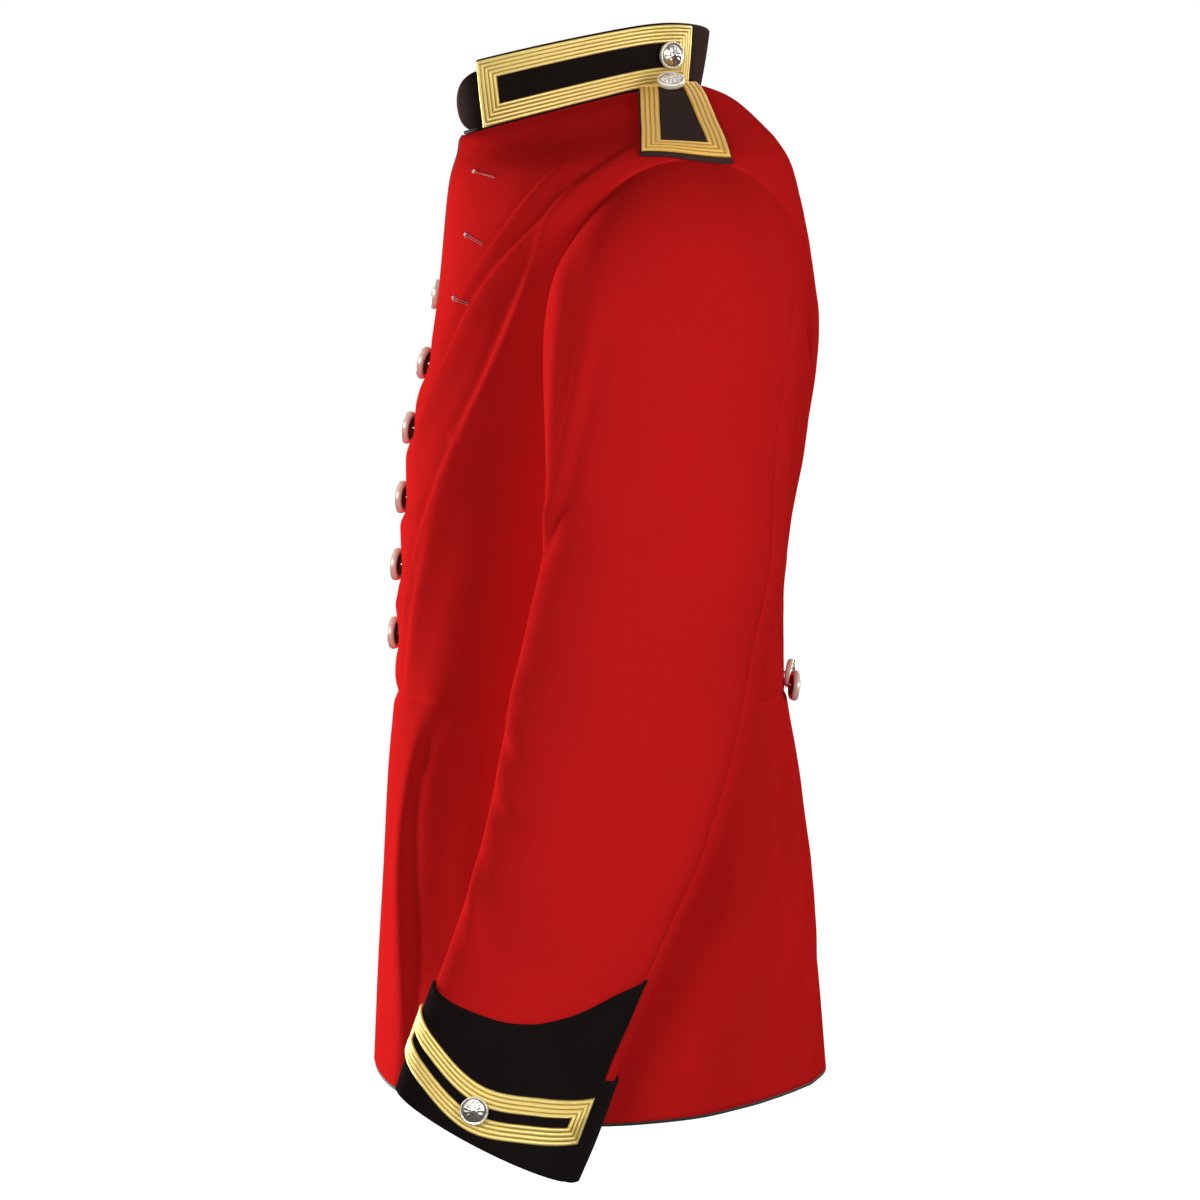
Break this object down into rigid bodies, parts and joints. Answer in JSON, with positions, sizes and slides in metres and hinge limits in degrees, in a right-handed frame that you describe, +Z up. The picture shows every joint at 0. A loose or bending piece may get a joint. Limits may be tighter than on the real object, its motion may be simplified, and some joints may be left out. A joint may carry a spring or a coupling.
{
  "type": "military dress tunic",
  "caption": "Fitted dress tunic in its worn hollow shape: stand collar, shoulder straps, pointed cuffs, lace trim and a buttoned front left open at the neck.",
  "frame": {"origin": "on the middle plane, level with the shoulders at the neck, where the wearer's shoulders carry the garment", "axes": "+Z up, the wearer faces -Y, the wearer's left is +X"},
  "size_m": [0.5628, 0.3191, 0.7516],
  "materials": {
    "scarlet_cloth": "dense scarlet wool cloth with a fine nap",
    "black_cloth": "dark facing cloth, almost black",
    "gold_lace": "woven metallic gold lace with raised ridges",
    "black_piping": "narrow black cloth cord",
    "silver_metal": "polished silver-coloured domed buttons, plain"
  },
  "bodies": {
    "root": {"back_left": "scarlet_cloth", "back_right": "scarlet_cloth", "button_collar_left": "silver_metal", "button_collar_right": "silver_metal", "button_cuff_left": "silver_metal", "button_cuff_right": "silver_metal", "button_front_1": "silver_metal", "button_front_2": "silver_metal", "button_front_3": "silver_metal", "button_front_4": "silver_metal", "button_front_5": "silver_metal", "button_front_6": "silver_metal", "button_front_7": "silver_metal", "button_front_8": "silver_metal", "button_strap_left": "silver_metal", "button_strap_right": "silver_metal", "button_waist_left": "silver_metal", "button_waist_right": "silver_metal", "collar_lace_left": "gold_lace", "collar_lace_right": "gold_lace", "collar_left": "black_cloth", "collar_right": "black_cloth", "collar_tongue": "black_cloth", "cuff_lace_left": "gold_lace", "cuff_lace_right": "gold_lace", "cuff_top_left": "black_cloth", "cuff_top_right": "black_cloth", "cuff_under_left": "black_cloth", "cuff_under_right": "black_cloth", "front_left": "scarlet_cloth", "front_right": "scarlet_cloth", "piping_front_left": "black_piping", "piping_hem_left": "black_piping", "piping_hem_right": "black_piping", "piping_neck_left": "black_piping", "piping_skirt_left": "black_piping", "side_left": "scarlet_cloth", "side_right": "scarlet_cloth", "skirt_back_left": "scarlet_cloth", "skirt_back_right": "scarlet_cloth", "skirt_front_left": "scarlet_cloth", "skirt_front_right": "scarlet_cloth", "strap_lace_left": "gold_lace", "strap_lace_right": "gold_lace", "strap_left": "black_cloth", "strap_right": "black_cloth", "top_arm_left": "scarlet_cloth", "top_arm_right": "scarlet_cloth", "top_forearm_left": "scarlet_cloth", "top_forearm_right": "scarlet_cloth", "top_head_left": "scarlet_cloth", "top_head_right": "scarlet_cloth", "under_arm_left": "scarlet_cloth", "under_arm_right": "scarlet_cloth", "under_forearm_left": "scarlet_cloth", "under_forearm_right": "scarlet_cloth", "under_head_left": "scarlet_cloth", "under_head_right": "scarlet_cloth"}
  },
  "joints": []
}
